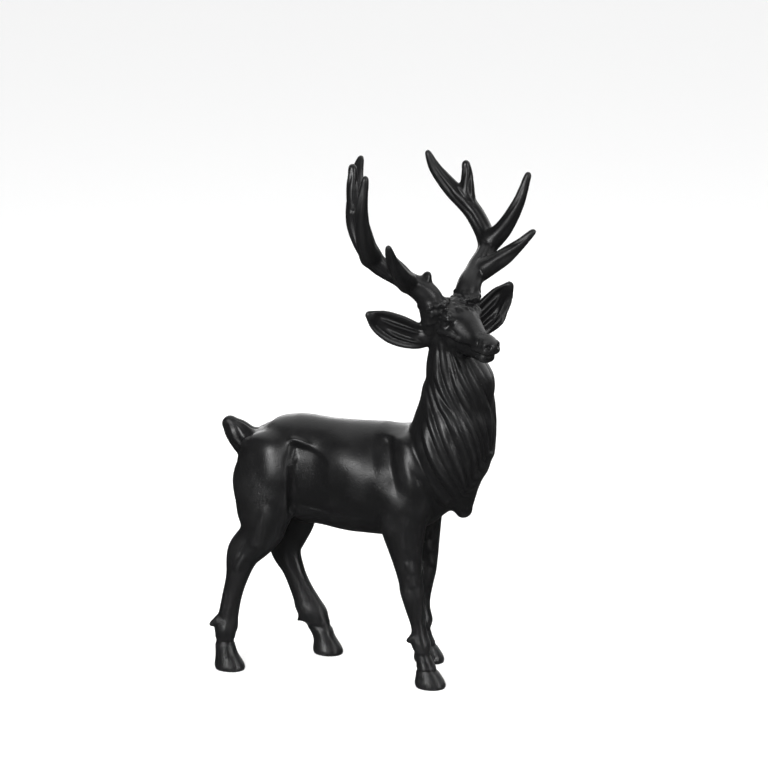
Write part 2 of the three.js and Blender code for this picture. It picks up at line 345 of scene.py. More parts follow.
# Strokes on the flanks, seen from the side: sides, path of (x, z), radius, rise
BOTH = (-1, 1)
NEAR = (-1,)
FAR = (1,)
FLANK_STROKES = [
    # Barrel, hip bone and thigh
    (BOTH, [(-24, 196), (-13, 189), (-5, 183)], 28, 4.0),
    (BOTH, [(-76, 208.5), (-69, 211), (-60, 209), (-50, 205)], 3.4, 2.0),
    (BOTH, [(-87, 200), (-82, 186)], 18, 2.8),
    (BOTH, [(-73, 207), (-72, 195), (-68, 178), (-63, 160)], 5, -1.4),
    (BOTH, [(-68, 204), (-66.5, 197), (-68.5, 190), (-64, 177)], 3.2, 1.4),
    # Elbow and forearm
    (BOTH, [(17, 152), (20, 144)], 8, 1.2),
    (BOTH, [(34, 150), (33, 130)], 8, 1.0),
    # Near foreleg: knee and tendon
    (NEAR, [(36, 113), (38, 107)], 4.5, 1.5),
    (NEAR, [(38, 101), (39.5, 95)], 4.5, 1.4),
    (NEAR, [(34, 88), (37.5, 64), (41, 42)], 2.4, -1.2),
    # Far foreleg
    (FAR, [(33, 113), (33, 107)], 4.5, 1.4),
    (FAR, [(32, 100), (31, 94)], 4.5, 1.3),
    (FAR, [(27, 86), (26, 62), (26.5, 42)], 2.4, -1.1),
    # Near hind leg: shank, hock and tendon
    (NEAR, [(-88, 148), (-98, 122)], 9, 1.6),
    (NEAR, [(-104, 128), (-112, 113), (-116, 104)], 3.2, -1.6),
    (NEAR, [(-111, 105), (-116, 96)], 4.5, 1.3),
    (NEAR, [(-121, 90), (-126, 66), (-130, 48)], 2.4, -1.1),
    # Far hind leg
    (FAR, [(-82, 148), (-83, 120)], 9, 1.6),
    (FAR, [(-90, 126), (-97, 106)], 3.2, -1.5),
    (FAR, [(-91, 100), (-90, 92)], 4.5, 1.3),
    (FAR, [(-92, 82), (-85, 60), (-77, 43)], 2.4, -1.1),
]
# Strokes on the face, seen from the side in the head's frame
FACE_STROKES = [
    # Brow, socket and lids
    ([(-2, 12), (5, 14.4), (13, 12), (19, 8)], 3.2, 1.6),
    ([(4.5, 7), (9.4, 7.2), (14.5, 6)], 5.4, -1.7),
    ([(4.4, 7.2), (7, 10.6), (10.6, 11), (14.4, 7.6)], 1.6, 1.3),
    ([(4.4, 6.8), (7.4, 3.8), (11, 3.3), (14.6, 6)], 1.6, 1.1),
    ([(15.4, 5.2), (20, 3.2), (25, 0.8)], 1.8, -1.3),
    # Cheek bone, jaw and the hollow before it
    ([(6, -1.5), (15, -1), (25, -3)], 4.5, 1.2),
    ([(-4, -9), (5, -12), (14, -11)], 8, 1.6),
    ([(18, -5), (27, -7), (37, -6.5)], 4.5, -1.5),
    # Upper lip, mouth and nose
    ([(55, -4.6), (47, -4.6), (41, -5.4)], 3, 0.7),
    ([(60, -8), (52, -8.2), (44, -8.4), (36, -9.8)], 1.7, -1.7),
    ([(45.5, 5), (47.5, 0.6), (46, -4)], 1.8, -0.8),
]


# Shells
def unit(vectors):
    return vectors / np.linalg.norm(vectors, axis=-1, keepdims=True)


def spline(rows, t):
    """A smooth curve through every row, at shares t of its length in rows."""
    rows = np.asarray(rows, float)
    ends = np.vstack([2 * rows[0] - rows[1], rows, 2 * rows[-1] - rows[-2]])
    place = np.clip(t, 0, 1) * (len(rows) - 1)
    span = np.minimum(place.astype(int), len(rows) - 2)
    f = (place - span)[:, None]
    a, b, c, d = (ends[span + k] for k in range(4))
    square = 2 * a - 5 * b + 4 * c - d
    cube = 3 * b - a - 3 * c + d
    return 0.5 * (2 * b + (c - a) * f + square * f**2 + cube * f**3)


def skin(stations, across, count):
    """Centres, directions and half sizes along the stations."""
    t = np.linspace(0, 1, count)
    rows = spline(stations, t)
    ahead = spline(stations, np.minimum(t + 1e-4, 1))
    behind = spline(stations, np.maximum(t - 1e-4, 0))
    along = unit((ahead - behind)[:, :3])
    wide = unit(across - along * (along @ across)[:, None])
    return rows[:, :3], along, wide, np.cross(along, wide), rows[:, 3:]


def loft(bm, frames, sides):
    """Adds a closed shell: a unit circle is put through each frame in turn, and both ends are filled."""
    shell = bmesh.new()
    ring = bmesh.ops.create_circle(shell, segments=sides, radius=1.0, matrix=frames[0])["verts"]
    first = edges = list({edge for vert in ring for edge in vert.link_edges})
    for before, after in zip(frames, frames[1:]):
        made = bmesh.ops.extrude_edge_only(shell, edges=edges)["geom"]
        ring = [item for item in made if isinstance(item, bmesh.types.BMVert)]
        fresh = set(ring)
        lines = [item for item in made if isinstance(item, bmesh.types.BMEdge)]
        edges = [line for line in lines if fresh.issuperset(line.verts)]
        bmesh.ops.transform(shell, matrix=after @ before.inverted(), verts=ring)
    bmesh.ops.edgeloop_fill(shell, edges=first)
    bmesh.ops.edgeloop_fill(shell, edges=edges)
    mesh = bpy.data.meshes.new("shell")
    shell.to_mesh(mesh)
    shell.free()
    bm.from_mesh(mesh)
    bpy.data.meshes.remove(mesh)


def ring_frame(centre, along, wide, deep):
    columns = Matrix((wide, deep, along)).transposed().to_4x4()
    columns.translation = Vector(centre)
    return columns


def sweep(bm, stations, across=LEFT, sides=48, steps=60, domes=(True, True), place=HERE):
    """Adds a shell through stations, with round ends where domes says so."""
    centre, along, wide, deep, half = skin(stations, across, steps + 1)

    def frame_at(i, lean):
        shrink = max(math.cos(lean), DOME_TIP)
        middle = centre[i] + along[i] * (DOME_REACH * math.sin(lean) * half[i].min())
        width, depth = half[i] * shrink
        return place @ ring_frame(middle, along[i], wide[i] * width, deep[i] * depth)

    leans = [math.pi / 2 * (k + 1) / DOME_RINGS for k in range(DOME_RINGS)]
    head = [frame_at(0, -lean) for lean in reversed(leans)] if domes[0] else []
    foot = [frame_at(steps, lean) for lean in leans] if domes[1] else []
    loft(bm, head + [frame_at(i, 0.0) for i in range(steps + 1)] + foot, sides)


def ball(bm, centre, radii, place=HERE):
    matrix = place @ Matrix.Translation(centre) @ Matrix.Diagonal((*radii, 1))
    bmesh.ops.create_icosphere(bm, subdivisions=3, radius=1.0, matrix=matrix)


def add_leg(bm, joints, sizes, spur):
    """Adds a leg, its hoof and its two dewclaws."""
    stations = [joint + size for joint, size in zip(joints, sizes)]
    sweep(bm, stations, sides=40, steps=90, domes=(True, False))
    x, y, _ = joints[-1]
    rings = []
    for height, back, grow in HOOF_ROWS:
        middle = (x + HOOF_TOE_OUT + back, y, height)
        long = Vector((HOOF_LENGTH / 2 * grow, 0, 0))
        broad = Vector((0, HOOF_WIDTH / 2 * grow, 0))
        rings.append(ring_frame(middle, Vector((0, 0, 1)), long, broad))
    loft(bm, rings, 48)
    x, y, z = joints[-3]
    back, up = spur
    for side in BOTH:
        root = (x - back + 6, y + side * 3.5, z + up + 5, 4, 4)
        tip = (x - back, y + side * 4, z + up, 2.2, 2.2)
        sweep(bm, [root, tip], sides=16, steps=6)


def ear_stations(side, reach, fullness):
    back, out, up = reach
    x, y, z = EAR_ROOT
    return [
        (x + back * s, side * (y + out * s), z + up * s**1.7, fullness * wide, thick)
        for s, wide, thick in EAR_LEAF
    ]


def tube_stations(rows, side):
    x, y, z = BURR
    return [(x + ahead, side * (y + out), z + up, r, r) for ahead, out, up, r in rows]


def build_shells():
    """All the casting's shells, overlapping, as one mesh."""
    bm = bmesh.new()
    sweep(bm, TRUNK, sides=96, steps=90)
    sweep(bm, TAIL, sides=32, steps=30, domes=(False, True))
    sweep(bm, NECK, sides=96, steps=90)
    for joints, sizes, spur, _ in LEGS:
        add_leg(bm, joints, sizes, spur)
    sweep(bm, CRANIUM, sides=56, steps=50, place=NODDED)
    sweep(bm, JAW, sides=40, steps=30, place=NODDED)
    for side in BOTH:
        ball(bm, (9, side * 12, 12.5), (9, 5.5, 3.5), NODDED)
    for ear in EARS:
        sweep(bm, ear_stations(*ear), UP, sides=40, steps=40, domes=(False, True), place=TURNED)
        ball(bm, (-6, ear[0] * 18, 2), (8, 8, 11), TURNED)
    x, y, z = BURR
    for side, tubes in ANTLERS:
        for rows in tubes:
            stations = tube_stations(rows, side)
            steps = 14 * len(rows)
            sweep(bm, stations, FORWARD, sides=28, steps=steps, domes=(False, True), place=TURNED)
        ball(bm, (x - 2, side * (y + 1), z + 3), (12.4, 12.4, 4), TURNED)
    bmesh.ops.recalc_face_normals(bm, faces=bm.faces)
    mesh = bpy.data.meshes.new("stag_shells")
    bm.to_mesh(mesh)
    bm.free()
    return mesh


def with_modifier(mesh, kind, **settings):
    """A new mesh: the given one with one modifier applied. The given mesh is removed."""
    holder = bpy.data.objects.new("holder", mesh)
    bpy.context.scene.collection.objects.link(holder)
    modifier = holder.modifiers.new(kind, kind)
    for name, value in settings.items():
        setattr(modifier, name, value)
    depsgraph = bpy.context.evaluated_depsgraph_get()
    made = bpy.data.meshes.new_from_object(holder.evaluated_get(depsgraph), depsgraph=depsgraph)
    bpy.data.objects.remove(holder)
    bpy.data.meshes.remove(mesh)
    return made


def fused(mesh, grain):
    """One closed skin of even quads round everything in the mesh."""
    return with_modifier(mesh, "REMESH", mode="VOXEL", voxel_size=grain, adaptivity=0.0)


# Clay
def ease(low, high, values):
    """0 at low, 1 at high, smooth between; low may be the greater."""
    share = np.clip((values - low) / (high - low), 0, 1)
    return share * share * (3 - 2 * share)


class Clay:
    """The casting's skin while it is worked, in millimetres."""

    def __init__(self, mesh):
        self.mesh = mesh
        self.points = self.read(mesh.vertices, "co", 3, np.float32).astype(float)
        self.edges = self.read(mesh.edges, "vertices", 2, np.int32)
        corners = len(mesh.loops) // len(mesh.polygons)
        self.faces = self.read(mesh.polygons, "vertices", corners, np.int32)
        ends = self.edges.ravel()
        self.degree = np.bincount(ends, minlength=len(self.points))
        self.refresh()

    @staticmethod
    def read(items, name, width, kind):
        values = np.empty(len(items) * width, kind)
        items.foreach_get(name, values)
        return values.reshape(-1, width)

    def gather(self, index, values):
        size = len(self.points)
        return np.stack([np.bincount(index, values[:, k], size) for k in range(values.shape[1])], 1)

    def refresh(self):
        """Works the normals out again."""
        corners = self.points[self.faces]
        across = np.cross(corners[:, 2] - corners[:, 0], corners[:, -1] - corners[:, 1])
        self.normals = unit(sum(self.gather(column, across) for column in self.faces.T) + 1e-12)

    def around(self, values):
        """The mean of each point's neighbours."""
        a, b = self.edges.T
        return (self.gather(a, values[b]) + self.gather(b, values[a])) / self.degree[:, None]

    def smooth(self, rounds, weight):
        for _ in range(rounds):
            self.points += (self.around(self.points) - self.points) * weight
        self.refresh()

    def fill(self, rounds, weight):
        """Fills creases: a point rises where its neighbours stand above it."""
        for turn in range(rounds):
            rise = ((self.around(self.points) - self.points) * self.normals).sum(1)
            self.points += self.normals * (np.clip(rise, 0, None) * weight)[:, None]
            if turn % 4 == 3:
                self.refresh()
        self.refresh()

    def push(self, amount):
        self.points += self.normals * amount[:, None]
        self.refresh()

    def written(self):
        """The mesh, with the points as they are now."""
        self.mesh.vertices.foreach_set("co", self.points.astype(np.float32).ravel())
        self.mesh.update()
        return self.mesh


def local(vectors, place, turn_only=False):
    """Points, or directions, seen from a placed frame."""
    inverse = np.array(place.inverted())
    moved = vectors @ inverse[:3, :3].T
    return moved if turn_only else moved + inverse[:3, 3]


def path_reach(flat, path, steps=8):
    """Each flat point's distance from a smooth path, and its share along the path."""
    line = spline(path, np.linspace(0, 1, steps * len(path)))
    away = np.full(len(flat), 1e9)
    share = np.zeros(len(flat))
    for i, (start, end) in enumerate(zip(line, line[1:])):
        span = end - start
        f = np.clip(((flat - start) @ span) / (span @ span), 0, 1)
        distance = np.linalg.norm(flat - start - f[:, None] * span, axis=1)
        nearer = distance < away
        away[nearer] = distance[nearer]
        share[nearer] = (i + f[nearer]) / (len(line) - 1)
    return away, share


def stroke(clay, amount, path, radius, rise, axis=1, side=1, place=HERE):
    """Adds a stroke to amount: a round ridge or hollow, or a sharp groove if a hollow is long and narrow.

    The path is drawn on the plane across the axis, on the skin that faces its side.
    """
    flat_axes = [k for k in range(3) if k != axis]
    path = np.asarray(path, float)
    seen = local(clay.points, place)
    flat = seen[:, flat_axes]
    facing = local(clay.normals, place, True)[:, axis] * side
    inside = (flat > path.min(0) - radius) & (flat < path.max(0) + radius)
    near = np.all(inside, axis=1) & (facing > 0.05)
    near &= seen[:, axis] * side > np.quantile(seen[near, axis] * side, 0.02) - 1 if near.any() else near
    if not near.any():
        raise RuntimeError(f"no skin under the stroke that starts at {path[0]}")
    away, share = path_reach(flat[near], path)
    slender = np.linalg.norm(np.diff(path, axis=0), axis=1).sum() > 5 * radius
    if slender and rise < 0:
        profile = np.clip(1 - away / radius, 0, None) ** 1.6
    else:
        profile = np.clip(1 - (away / radius) ** 2, 0, None) ** 2
    taper = ease(0, 0.4, share) * ease(1, 0.6, share) if slender else 1.0
    amount[near] += rise * profile * taper * ease(0.05, 0.4, facing[near])


def bump(seen, centre, radius, power=2, stretch=(1, 1, 1)):
    """A round bump: 1 at its centre, 0 from its radius on."""
    away = np.linalg.norm((seen - centre) / stretch, axis=1)
    return np.clip(1 - (away / radius) ** 2, 0, None) ** power


def unwrapped(points, stations, across, place=HERE, count=121):
    """Where points lie along a shell, their width and depth in half sizes, and those half sizes."""
    centre, along, wide, deep, half = skin(stations, across, count)
    seen = local(points, place)
    nearest = np.argmin((centre**2).sum(1) - 2 * seen @ centre.T, axis=1)
    offset = seen - centre[nearest]
    ahead = (offset * along[nearest]).sum(1)
    other = np.clip(nearest + np.where(ahead > 0, 1, -1), 0, count - 1)
    beyond = ((seen - centre[other]) * along[other]).sum(1)
    share = ahead / np.where(np.abs(ahead - beyond) > 1e-9, ahead - beyond, 1)
    t = (nearest + (other - nearest) * np.clip(share, 0, 1)) / (count - 1)
    a = (offset * wide[nearest]).sum(1) / half[nearest, 0]
    b = (offset * deep[nearest]).sum(1) / half[nearest, 1]
    return t, a, b, half[nearest]


def shape_muscles(clay):
    """Strokes on flanks and legs, the belly's curve, and the planes of shoulder and flank."""
    amount = np.zeros(len(clay.points))
    low = clay.points[:, 2] < 245
    for sides, path, radius, rise in FLANK_STROKES:
        for side in sides:
            stroke(clay, amount, path, radius, rise, side=side)
    x, _, z = clay.points.T
    belly = ease(-0.2, -0.7, clay.normals[:, 2]) * (np.abs(z - 130) < 20)
    amount += BELLY_DROP * belly * np.clip(1 - ((x - BELLY_LOW) / 40) ** 2, 0, None) ** 2
    # The shoulder blade's slanted plane and the hollow behind it
    sideways = ease(0.3, 0.7, np.abs(clay.normals[:, 1]))
    ahead = x - BLADE_TOP[0] - BLADE_SLANT * (BLADE_TOP[1] - z)
    blade = BLADE_RISE * np.clip(ahead / 12.5, 0, 1)
    blade += BLADE_CREST * np.clip((z - 196) / 22, 0, 1) * ease(-1, 3, ahead)
    blade *= ease(28, 14, ahead) * ease(170, 186, z) * ease(226, 212, z)
    hollow = HOLLOW_DEPTH * np.clip(1 - np.abs(ahead + 4) / 14, 0, 1)
    hollow *= ease(228, 214, z) * ease(164, 186, z)
    # The flank falls back from the barrel to the fold of the thigh, under the ridge of the hip
    ridge = HIP_PEAK[1] - HIP_BEND * (x - HIP_PEAK[0]) ** 2
    flank = FLANK_FALL * np.clip((FLANK_START - x) / FLANK_LENGTH, 0, 1) * ease(-73, -67, x)
    flank *= ease(ridge + 1, ridge - 4, z) * ease(140, 152, z)
    amount += sideways * (blade - hollow - flank)
    clay.push(np.where(low, amount, 0))


def strands(flat, paths, power):
    """Ridges along the paths: each point's height, 0 in the creases to 1, the gap there, and its swell."""
    first = np.full(len(flat), 1e9)
    second = first.copy()
    along = np.zeros(len(flat))
    owner = np.zeros(len(flat))
    for i, path in enumerate(paths):
        away, share = path_reach(flat, path, 3)
        closer = away < first
        second = np.where(closer, first, np.minimum(second, away))
        first[closer] = away[closer]
        along[closer] = share[closer]
        owner[closer] = i
    gap = first + second
    swell = 0.5 + 0.5 * np.sin(8 * along + 2.4 * owner)
    return 1 - (1 - (second - first) / gap) ** power, gap, swell


def strand_lift(flat, rise):
    """Heights of the mane: bold locks that swell and sink in turn, each parted into finer strands."""
    paths = [np.array(path, float) for path in MANE_STRANDS]
    main = [np.vstack([2.5 * path[0] - 1.5 * path[1], path]) for path in paths]
    share = np.linspace(0, 1, 10)
    between = [(spline(a, share) + spline(b, share)) / 2 for a, b in zip(main, main[1:])]
    ridge, gap, swell = strands(flat, main, 1.8)
    lift = np.minimum(rise, 0.4 * gap) * (0.35 + 0.65 * swell) * ridge
    ridge, gap, swell = strands(flat, main + between, 2.5)
    return lift + np.minimum(0.25 * rise, 0.1 * gap) * swell * ridge


def mane_relief(clay, settings):
    """Heights of the mane over the neck: its strands, and its fullness under them."""
    relief = np.zeros(len(clay.points))
    x, _, z = clay.points.T
    near = (z > 140) & (z < 318) & (x > 15)
    points, normals = clay.points[near], clay.normals[near]
    t, a, b, _ = unwrapped(points, NECK, LEFT)
    girth = spline(NECK, t)[:, 3:].mean(1)
    nape = np.arctan2(np.abs(a), -b)  # angle round the neck, from 0 at the nape
    height = np.zeros(len(points))
    # Strands are drawn on a plane across the camera's azimuth, and mirrored to the far side
    for side in BOTH:
        place = Matrix.Rotation(-side * MANE_VIEW, 4, "Z")
        facing = ease(0.05, 0.35, local(normals, place, True)[:, 1] * side)
        seen = facing > 0
        lift = strand_lift(local(points[seen], place)[:, [0, 2]], settings.strand_rise / MM)
        height[seen] = np.maximum(height[seen], lift * facing[seen])
    # They fade at the nape, towards the breast and at the withers
    height *= ease(0.25, 0.8, nape) * (1 - 0.3 * ease(0.6, 0.85, t)) * ease(24, 34, points[:, 0])
    # Fullness of the sides, the bare lower nape, then fullness of the throat and the upper nape
    front = ease(1.3, 2.4, nape)
    height += MANE_SIDES * ease(0.03, 0.15, t) * ease(0.9, 0.7, t) * (1 - front)
    height *= 1 - ease(262, 238, points[:, 2]) * ease(1.2, 0.6, nape)
    height += MANE_THROAT * ease(0.1, 0.33, t) * ease(0.92, 0.76, t) * front
    rise = np.clip(1 - ((points[:, 2] - NAPE_HEIGHT) / NAPE_REACH) ** 2, 0, None) ** 2
    height += MANE_NAPE * rise * ease(1.3, 0.6, nape)
    relief[near] = height * ease(1.3, 1.12, np.hypot(a, b)) * ease(0.0, 0.08, t) * ease(6, 14, girth)
    return relief


def shape_tail(clay, settings):
    """Wavy lines along the tail."""
    amount = np.zeros(len(clay.points))
    near = clay.points[:, 0] < -108
    near &= clay.points[:, 2] > 178
    t, a, b, _ = unwrapped(clay.points[near], TAIL, LEFT)
    angle = np.arctan2(b, a)
    groove = 0.5 + 0.5 * np.cos(13 * angle + 3 * np.sin(4 * t + 2 * angle))
    amount[near] = -settings.tail_groove / MM * groove * ease(0.1, 0.4, t) * ease(1.05, 0.8, t)
    clay.push(amount)


def shape_ears(clay, settings):
    """Hollows each ear's front, and leaves curved ridges along it."""
    for ear in EARS:
        side = ear[0]
        amount = np.zeros(len(clay.points))
        seen = local(clay.points, TURNED)
        facing = local(clay.normals, TURNED, True)[:, 0]
        near = (seen[:, 1] * side > 20) & (seen[:, 2] < 45) & (np.abs(seen[:, 0] + 14) < 26)
        t, a, b, _ = unwrapped(clay.points[near], ear_stations(*ear), UP, TURNED)
        bowl = ease(0.9, 0.55, np.abs(a)) * ease(0.1, 0.35, t) * ease(0.97, 0.75, t)
        upper = np.exp(-(((a - 0.42 + 0.35 * t) / 0.11) ** 2)) * ease(0.2, 0.4, t) * ease(0.8, 0.6, t)
        lower = np.exp(-(((a + 0.5 - 0.2 * t) / 0.13) ** 2)) * ease(0.1, 0.3, t) * ease(0.7, 0.5, t)
        cut = settings.ear_hollow / MM * bowl * (1 - 0.6 * np.maximum(upper, lower))
        inside = ease(0.1, 0.5, facing[near]) * ease(1.4, 1.1, np.hypot(a, b))
        amount[near] = -cut * inside
        clay.push(amount)


def shape_antlers(clay, settings):
    """Lengthwise grooves along the beams and tines, and pearls round the burrs."""
    amount = np.zeros(len(clay.points))
    x, y, z = BURR
    seen = local(clay.points, TURNED)
    chance = np.random.default_rng(5)
    for side, tubes in ANTLERS:
        near = (seen[:, 1] * side > 4) & (seen[:, 2] > 14) & (np.abs(seen[:, 0] + 40) < 65)
        for rows in tubes:
            t, a, b, half = unwrapped(clay.points[near], tube_stations(rows, side), FORWARD, TURNED)
            count = 7 if rows is tubes[0] else 5
            groove = 0.5 + 0.5 * np.cos(count * np.arctan2(b, a) + 2.2 * np.sin(5 * t))
            on_tube = ease(1.25, 1.08, np.hypot(a, b)) * ease(0.12, 0.3, t) * ease(1.0, 0.8, t)
            depth = settings.antler_groove / MM * groove**2 * on_tube * ease(2.0, 6.0, half[:, 0])
            amount[near] = np.minimum(amount[near], -depth)
        for _ in range(BURR_PEARLS):
            turn = chance.uniform(0, 2 * math.pi)
            ahead = x - 2 + BURR_RING * math.cos(turn)
            out = side * (y + 1) + BURR_RING * math.sin(turn)
            pearl = (ahead, out, z + chance.uniform(-2, 8))
            amount += 1.1 * bump(seen, pearl, chance.uniform(2.2, 3.6))
    clay.push(amount)


def shape_face(clay):
    """Brows, eyes, cheeks, nostrils, lips, mouth and the forehead's hair."""
    amount = np.zeros(len(clay.points))
    seen = local(clay.points, NODDED)
    for side in BOTH:
        for path, radius, rise in FACE_STROKES:
            stroke(clay, amount, path, radius, rise, side=side, place=NODDED)
        # The eye's ball in its socket, then the nostril and its wing
        across = np.array((1, side, 1))
        amount += 2.6 * bump(seen, EYE * across, EYE_RADIUS, 0.5)
        amount -= 2.8 * bump(seen, NOSTRIL * across, NOSTRIL_RADIUS, 1.5, (1, 1, 0.8))
        amount += 1.1 * bump(seen, NOSTRIL_WING * across, WING_RADIUS)
    # The mouth round the front, and rough hair over the forehead and round the burrs
    stroke(clay, amount, [(-9, -8.4), (0, -8), (9, -8.4)], 1.9, -2.2, 0, 1, NODDED)
    chance = np.random.default_rng(7)
    forehead = np.all(np.abs(seen - FOREHEAD) < FOREHEAD_REACH, axis=1)
    for tuft in seen[chance.choice(np.flatnonzero(forehead), FOREHEAD_TUFTS)]:
        rise = chance.uniform(0.4, 0.9)
        amount += rise * bump(seen, tuft, chance.uniform(1.8, 2.8), stretch=(1.6, 1, 1))
    clay.push(amount)


def shape_feet(clay):
    """Full fetlocks, lines round the pasterns and hooves, and level soles."""
    amount = np.zeros(len(clay.points))
    x, y, z = clay.points.T
    for joints, _, _, rings in LEGS:
        for joint, height, reach, rise in rings:
            near = np.hypot(x - joints[joint][0], y - joints[joint][1]) < FOOT_REACH
            amount += rise * near * np.clip(1 - ((z - height) / reach) ** 2, 0, None) ** 2
    clay.push(amount)
    clay.points[:, 2] = np.where(clay.points[:, 2] < SOLE_REACH, 0.0, clay.points[:, 2])


def relief_of(clay):
    """How far each point stands out of the skin round it, from -1 in a hollow to 1 on an edge."""
    lean = ((clay.points - clay.around(clay.points)) * clay.normals).sum(1)
    span = np.linalg.norm(clay.points[clay.edges[:, 0]] - clay.points[clay.edges[:, 1]], axis=1).mean()
    bend = lean[:, None] / span
    for _ in range(3):
        bend = 0.5 * bend + 0.5 * clay.around(bend)
    return np.clip(bend[:, 0] * 8, -1, 1)


def sculpt(settings):
    """The finished casting's mesh, in metres, with its relief as a point attribute."""
    # Large forms on a rough skin, with creases filled most on the body and least on the head
    clay = Clay(fused(build_shells(), settings.rough_grain / MM))
    x, _, z = clay.points.T.copy()
    antlers = ease(350, 365, z)
    seen = local(clay.points, TURNED)
    poll = ease(-6, -14, seen[:, 0]) * ease(20, 12, np.abs(seen[:, 1]))
    poll *= ease(280, 290, z) * (1 - antlers)
    head = ease(285, 310, z) * (1 - poll)
    clay.fill(settings.crease_rounds, 0.7 * (1 - 0.75 * head + 0.5 * antlers))
    clay.smooth(4, 0.5)
    # Joins that a casting doesn't show are smoothed away, and the antlers get back what that takes
    rump = ease(-70, -80, x) * ease(-118, -110, x) * ease(158, 172, z)
    shoulder = ease(-8, 2, x) * ease(66, 54, x) * ease(172, 186, z) * ease(264, 250, z)
    feet = ease(38, 30, z) * ease(5, 11, z)
    clay.smooth(60, 0.5 * np.maximum.reduce([rump, shoulder, feet, poll])[:, None])
    clay.smooth(12, 0.5 * antlers[:, None])
    clay.push(0.4 * antlers)
    shape_muscles(clay)
    clay.smooth(2, 0.5)
    # Relief on a finer skin
    clay = Clay(fused(clay.written(), settings.fine_grain / MM))
    clay.smooth(2, 0.5)
    clay.push(mane_relief(clay, settings))
    x, _, z = clay.points.T.copy()
    nape = ease(0.5, 0.8, -clay.normals[:, 0]) * ease(236, 244, z) * ease(318, 310, z) * (x > 25)
    withers = ease(12, 20, x) * ease(48, 40, x) * ease(216, 222, z) * ease(250, 240, z)
    clay.smooth(50, 0.5 * np.maximum(nape, withers)[:, None])
    shape_tail(clay, settings)
    shape_ears(clay, settings)
    shape_antlers(clay, settings)
    shape_face(clay)
    clay.smooth(1, 0.4)
    shape_feet(clay)
    # The finished mesh, thinned to its number of triangles
    share = min(settings.triangles / (2 * len(clay.faces)), 1.0)
    mesh = with_modifier(clay.written(), "DECIMATE", ratio=share, use_collapse_triangulate=True)
    clay = Clay(mesh)
    relief = mesh.attributes.new("relief", "FLOAT", "POINT")
    relief.data.foreach_set("value", relief_of(clay).astype(np.float32))
    mesh.transform(Matrix.Diagonal((MM, MM, MM, 1)) @ Matrix.Translation(SHIFT))
    return mesh


# Materials
def node_group(name, inputs, outputs):
    """An empty node group with value and colour sockets, and its input and output nodes."""
    group = bpy.data.node_groups.new(name, "ShaderNodeTree")
    for direction, sockets in (("INPUT", inputs), ("OUTPUT", outputs)):
        for label, kind in sockets:
            group.interface.new_socket(label, in_out=direction, socket_type=kind)
    return group, group.nodes.new("NodeGroupInput"), group.nodes.new("NodeGroupOutput")


def noise(nodes, links, vector, scale, detail):
    texture = nodes.new("ShaderNodeTexNoise")
    texture.inputs["Scale"].default_value = scale
    texture.inputs["Detail"].default_value = detail
    links.new(vector, texture.inputs["Vector"])
    return texture.outputs["Fac"]


def remap(nodes, links, value, source, target):
    ranger = nodes.new("ShaderNodeMapRange")
    for label, number in zip(("From Min", "From Max", "To Min", "To Max"), (*source, *target)):
        ranger.inputs[label].default_value = number
    links.new(value, ranger.inputs["Value"])
    return ranger.outputs["Result"]


def maths(nodes, links, operation, *values):
    node = nodes.new("ShaderNodeMath")
    node.operation = operation
    for socket, value in zip(node.inputs, values):
        if isinstance(value, (int, float)):
            socket.default_value = value
        else:
            links.new(value, socket)
    return node.outputs[0]


def cast_surface():
    """A group for cast iron: a height for its grain, a slow mottle, and where handling has worn it."""
    group, given, made = node_group(
        "CastSurface",
        [("Vector", "NodeSocketVector"), ("Relief", "NodeSocketFloat")],
        [("Height", "NodeSocketFloat"), ("Mottle", "NodeSocketFloat"), ("Wear", "NodeSocketFloat")],
    )
    nodes, links = group.nodes, group.links
    vector = given.outputs["Vector"]
    grain = noise(nodes, links, vector, 1100, 3)
    pits = remap(nodes, links, noise(nodes, links, vector, 420, 2), (0.3, 0.42), (0, 1))
    height = maths(nodes, links, "MULTIPLY_ADD", pits, 0.6, grain)
    mottle = noise(nodes, links, vector, 70, 4)
    worn = remap(nodes, links, given.outputs["Relief"], (0.12, 0.8), (0, 1))
    wear = maths(nodes, links, "MULTIPLY", worn, remap(nodes, links, mottle, (0.3, 0.65), (0.3, 1)))
    links.new(height, made.inputs["Height"])
    links.new(mottle, made.inputs["Mottle"])
    links.new(wear, made.inputs["Wear"])
    return group


def iron_material(finish):
    material = bpy.data.materials.new("iron")
    material.use_nodes = True
    nodes, links = material.node_tree.nodes, material.node_tree.links
    shader = nodes["Principled BSDF"]
    place = nodes.new("ShaderNodeTexCoord")
    relief = nodes.new("ShaderNodeAttribute")
    relief.attribute_name = "relief"
    surface = nodes.new("ShaderNodeGroup")
    surface.node_tree = cast_surface()
    links.new(place.outputs["Object"], surface.inputs["Vector"])
    links.new(relief.outputs["Fac"], surface.inputs["Relief"])
    colour = nodes.new("ShaderNodeMix")
    colour.data_type = "RGBA"
    colour.inputs[6].default_value = (*finish.colour, 1)
    colour.inputs[7].default_value = (*finish.worn_colour, 1)
    links.new(surface.outputs["Wear"], colour.inputs[0])
    links.new(colour.outputs[2], shader.inputs["Base Color"])
    shader.inputs["Specular IOR Level"].default_value = 0.18
    low, high = finish.roughness - 0.06, finish.roughness + 0.08
    roughness = remap(nodes, links, surface.outputs["Mottle"], (0.3, 0.7), (low, high))
    links.new(roughness, shader.inputs["Roughness"])
    bump = nodes.new("ShaderNodeBump")
    bump.inputs["Strength"].default_value = 0.35
    bump.inputs["Distance"].default_value = finish.grain_height
    links.new(surface.outputs["Height"], bump.inputs["Height"])
    links.new(bump.outputs["Normal"], shader.inputs["Normal"])
    return material


